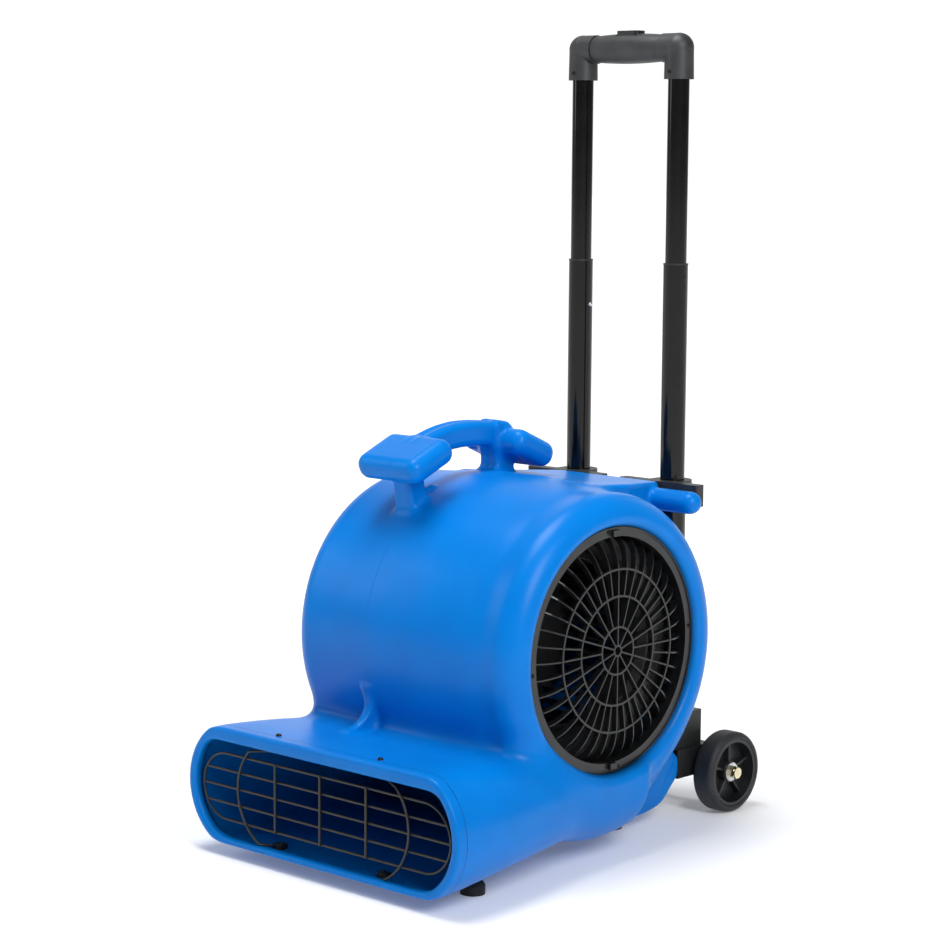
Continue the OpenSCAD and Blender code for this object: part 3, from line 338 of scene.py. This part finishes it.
def skin(name, field, low, high, pitch, cuts=()):
    """Turns a distance field in millimetres into smooth meshes, cut apart at the given X."""
    band = 3.0 * pitch
    axes = [np.arange(low[i], high[i] + pitch, pitch, dtype=np.float32) for i in range(3)]
    values = np.empty([len(a) for a in axes], dtype=np.float32)
    for i in range(0, len(axes[0]), 16):
        gx, gy, gz = np.meshgrid(axes[0][i:i + 16], axes[1], axes[2], indexing="ij")
        values[i:i + 16] = field(gx, gy, gz)
    grid = openvdb.FloatGrid(band)
    grid.copyFromArray(np.clip(values, -band, band).astype(np.float64))
    points, quads = grid.convertToQuads(0.0)
    p = points.astype(np.float64) * pitch + np.array(low)
    for turn in range(4):
        g = slope(field, p)
        # no step is longer than most of a cell, even where the field is nearly flat
        move = (field(*p.T) / np.maximum((g * g).sum(axis=1), 0.09))[:, None] * g
        far = np.maximum(np.linalg.norm(move, axis=1) / (0.8 * pitch), 1.0)
        p = p - move / far[:, None]
    normals = g / np.maximum(np.linalg.norm(g, axis=1), 1e-6)[:, None]
    # quads wound so that they face outward
    a, b, c = p[quads[:, 0]], p[quads[:, 1]], p[quads[:, 2]]
    facing = (np.cross(b - a, c - a) * normals[quads[:, 0]]).sum(axis=1).sum()
    if facing < 0:
        quads = quads[:, ::-1]
    middle = p[quads].mean(axis=1)[:, 0]
    edges = [-1e9, *cuts, 1e9]
    pieces = []
    for i in range(len(edges) - 1):
        chosen = quads[(middle >= edges[i]) & (middle < edges[i + 1])]
        used, inverse = np.unique(chosen, return_inverse=True)
        faces = inverse.reshape(chosen.shape)
        mesh = bpy.data.meshes.new(f"{name}_{i + 1}")
        where = (p[used] + np.array([0.0, axis_y, 0.0])) / 1000.0
        mesh.from_pydata(where.tolist(), [], faces.tolist())
        mesh.polygons.foreach_set("use_smooth", np.ones(len(faces), dtype=bool))
        mesh.normals_split_custom_set_from_vertices(normals[used].tolist())
        # 0 on the outside, and 1 from this deep in the body: the mask of the painted shade in the
        # hollow
        inside = np.clip((-outer_form(*p[used].T) - 2.0) / 12.0, 0.0, 1.0).astype(np.float32)
        mesh.attributes.new("inside", "FLOAT", "POINT").data.foreach_set("value", inside)
        mesh.update()
        piece = bpy.data.objects.new(f"{name}_{i + 1}", mesh)
        bpy.context.scene.collection.objects.link(piece)
        pieces.append(piece)
    return pieces


shells = skin("housing_skin", housing, (-226, -312, 8), (226, 214, 502),
              2.8, cuts=(-70, 70))

blue, shader = material("rotomoulded_polyethylene", IOR=1.5, Specular_IOR_Level=0.13)
place = two_tone(blue, shader, "#0070C6", "#0075CC", 60, detail=4.0)
rough_patches(blue, shader, place, 0.29, 0.35, 35)
# fine lines left by the mould: the parting line along the body and the joint round the lip
axes = add(blue, "SeparateXYZ", {"Vector": place})
lines = []
for axis, at_m, half_m, depth in (("X", -0.0468, 0.0004, 0.35), ("Y", -0.3012, 0.0005, 1.0)):
    off = add(blue, "Math", {0: axes.outputs[axis], 1: at_m}, operation="SUBTRACT")
    away = add(blue, "Math", {0: off.outputs[0]}, operation="ABSOLUTE")
    edge = add(blue, "MapRange", {"Value": away.outputs[0], "From Min": half_m * 0.4,
                                  "From Max": half_m * 1.6, "To Min": depth, "To Max": 0.0})
    lines.append(edge.outputs["Result"])
either = add(blue, "Math", {0: lines[0], 1: lines[1]}, operation="MAXIMUM")
groove = add(blue, "Bump", {"Height": either.outputs[0], "Strength": 1.0, "Distance": -0.0005})
grain(blue, shader, place, 1.6, 0.035, below=groove)
tone = shader.inputs["Base Color"].links[0].from_socket
dark = add(blue, "Mix", {"Factor": either.outputs[0], "A": tone, "B": linear("#004E9E")},
           data_type="RGBA")
mixed = next(e for e in dark.outputs if e.enabled)
# painted shade: the hollow is darkened in its colour towards deep navy, as little light reaches
# it
painted_shade_depth = add(blue, "Attribute", attribute_name="inside").outputs["Fac"]
# painted shade mixed into the blue by depth in the body
hollow = add(blue, "Mix", {"Factor": painted_shade_depth, "A": mixed, "B": linear("#01152B")},
             data_type="RGBA")
link(blue, next(e for e in hollow.outputs if e.enabled), shader.inputs["Base Color"])
for piece in shells:
    piece.data.materials.append(blue)
    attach(piece, "chassis")
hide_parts("housing")


# ---------- moulded black plastics ----------
# Inlet grilles, brackets, bushes and grip are injection moulded, matt black to dark grey.
def moulded(name, low, high, rough=(0.4, 0.55), size=25, bump=0.02, grain_mm=0.8):
    mat, shader = material(name, IOR=1.5)
    place = two_tone(mat, shader, low, high, size)
    rough_patches(mat, shader, place, rough[0], rough[1], 18)
    grain(mat, shader, place, grain_mm, bump)
    return mat


paint(["inlet_grille_right", "inlet_grille_left"],
      moulded("grille_polypropylene", "#121314", "#1A1B1D", (0.26, 0.36)))
paint(["upper_brackets"], moulded("bracket_nylon", "#1F2123", "#2A2C2E"))
# painted shade: the inlet cones are black funnels behind the inlet grilles, put there so the view
# into the body stays dark
paint(["axle_brackets", "switch_plate", "cord_gland", "outlet_grille_clamps", "inlet_cones"],
      moulded("black_nylon", "#141516", "#1C1D1E"))
paint(["outer_tube_bushes", "middle_tube_bushes"],
      moulded("bush_acetal", "#151617", "#1D1E20", (0.28, 0.4)))
paint(["grip_elbow_left", "grip_elbow_right", "grip_bar"],
      moulded("grip_polypropylene", "#1C1E20", "#292B2D", (0.42, 0.58), bump=0.05))
paint(["release_button", "speed_knob"], moulded("button_abs", "#0E0F10", "#151617", (0.22, 0.3)))
paint(["wheel_hub_left", "wheel_hub_right"],
      moulded("wheel_polypropylene", "#17181A", "#212325", (0.35, 0.5)))
paint(["fan_wheel", "speed_switch"], moulded("fan_polypropylene", "#17181A", "#1F2022"))
paint(["middle_tube_guides", "inner_tube_guides", "release_yoke"],
      moulded("guide_acetal", "#7A7B7C", "#8A8B8C"))
paint(["capacitor"], moulded("capacitor_case", "#CFCFCB", "#DADAD6", (0.3, 0.4)))
paint(["rubber_feet"], moulded("foot_rubber", "#101010", "#191919", (0.65, 0.8), bump=0.04))
paint(["wheel_tyre_left", "wheel_tyre_right"],
      moulded("tyre_rubber", "#17181A", "#222427", (0.5, 0.66), bump=0.05, grain_mm=0.6))


# ---------- metals ----------
# Tubes are steel with gloss black paint; screws, axle, nuts and pins are zinc plated.
def metal(name, low, high, rough, metallic=1.0, size=6, gloss=0.5):
    mat, shader = material(name, Metallic=metallic, Specular_IOR_Level=gloss)
    place = two_tone(mat, shader, low, high, size)
    rough_patches(mat, shader, place, rough[0], rough[1], size)
    grain(mat, shader, place, 0.9, 0.006)
    return mat


paint(["outer_tubes", "middle_tubes", "inner_tubes"],
      metal("black_tube_enamel", "#050506", "#0A0A0B", (0.1, 0.16), 0.0, 30, 0.32))
paint(["outlet_grille"], metal("dipped_wire", "#1A1815", "#26231F", (0.35, 0.5), 0.0))
paint(["outlet_grille_screws", "inlet_grille_screws", "elbow_screws"],
      metal("blackened_screw", "#141312", "#1E1D1C", (0.35, 0.45), 0.6))
paint(["axle", "axle_washers", "upper_bracket_screws", "axle_bracket_screws",
       "switch_plate_screws", "foot_screws", "inlet_cone_screws", "motor_mount_screws",
       "lock_tips", "lock_pin_left", "lock_pin_right", "release_rods", "release_spring",
       "motor_shaft", "motor_bearings"],
      metal("zinc_plate", "#B9BBBE", "#D6D8DA", (0.22, 0.38)))
paint(["axle_cap_nuts"], metal("passivated_zinc", "#D9CFA8", "#EEE6C8", (0.16, 0.28)))
paint(["motor_mount", "capacitor_strap"],
      metal("galvanised_sheet", "#7E8183", "#A1A4A6", (0.35, 0.5)))
paint(["motor_case"], metal("motor_enamel", "#191A1B", "#232425", (0.35, 0.5), 0.0))
paint(["motor_cap_inner", "motor_cap_outer", "fan_hub"],
      metal("cast_alloy", "#84868A", "#9DA0A3", (0.4, 0.6)))
paint(["motor_core", "motor_stator"],
      metal("varnished_windings", "#6B3A1A", "#8A4D24", (0.3, 0.45), 0.4))


# ---------- floor and light ----------
# A pale sweep under big soft lamps, with the object standing on it.
bpy.ops.mesh.primitive_plane_add(size=60, location=(0, 0, 0))
floor = bpy.context.object
floor.name = "floor"
paper, shader = material("studio_paper", Roughness=0.8, Specular_IOR_Level=0.2,
                         Base_Color=linear("#F7F7F8"))
# painted light: the paper glows by itself, faintly near the object and more brightly far from it,
# so that far away it runs up into white
spot = add(paper, "TexCoord").outputs["Object"]
distance = add(paper, "VectorMath", {0: spot}, operation="LENGTH")
glow = add(paper, "MapRange", {"Value": distance.outputs["Value"], "From Min": 0.5,
                               "From Max": 2.4, "To Min": 0.12, "To Max": 0.9})
shader.inputs["Emission Color"].default_value = (1.0, 1.0, 1.0, 1.0)
link(paper, glow.outputs["Result"], shader.inputs["Emission Strength"])
floor.data.materials.append(paper)

bpy.context.scene.view_settings.view_transform = "Standard"
# bright studio wall on the far side of the object, a dimmer room on the near side
world = bpy.data.worlds.new("studio")
bpy.context.scene.world = world
world.use_nodes = True
sky = world.node_tree.nodes["Background"]
towards = add(world, "TexCoord").outputs["Generated"]
facing = add(world, "VectorMath", {0: towards, 1: (-0.69, 0.72, 0.0)}, operation="DOT_PRODUCT")
glare = add(world, "MapRange", {"Value": facing.outputs["Value"], "From Min": 0.55,
                                "From Max": 0.9, "To Min": 0.17, "To Max": 1.05})
sky.inputs["Color"].default_value = (1.0, 1.0, 1.0, 1.0)
link(world, glare.outputs["Result"], sky.inputs["Strength"])


def lamp(name, place, aim, size, power):
    """Soft lamp in metres and watts, turned to what it lights."""
    data = bpy.data.lights.new(name, "AREA")
    data.shape = "RECTANGLE"
    data.size, data.size_y = size
    data.energy = power
    item = bpy.data.objects.new(name, data)
    bpy.context.scene.collection.objects.link(item)
    item.location = place
    item.rotation_euler = (Vector(aim) - Vector(place)).to_track_quat("-Z", "Y").to_euler()


lamp("top_lamp", (-0.2, -0.3, 2.5), (0, 0, 0.3), (1.2, 1.0), 44)
lamp("left_lamp", (-2.2, -1.6, 1.5), (0, -0.1, 0.3), (0.8, 1.4), 10)
lamp("right_lamp", (2.3, -0.8, 1.9), (0.1, 0.0, 0.25), (0.9, 1.3), 50)
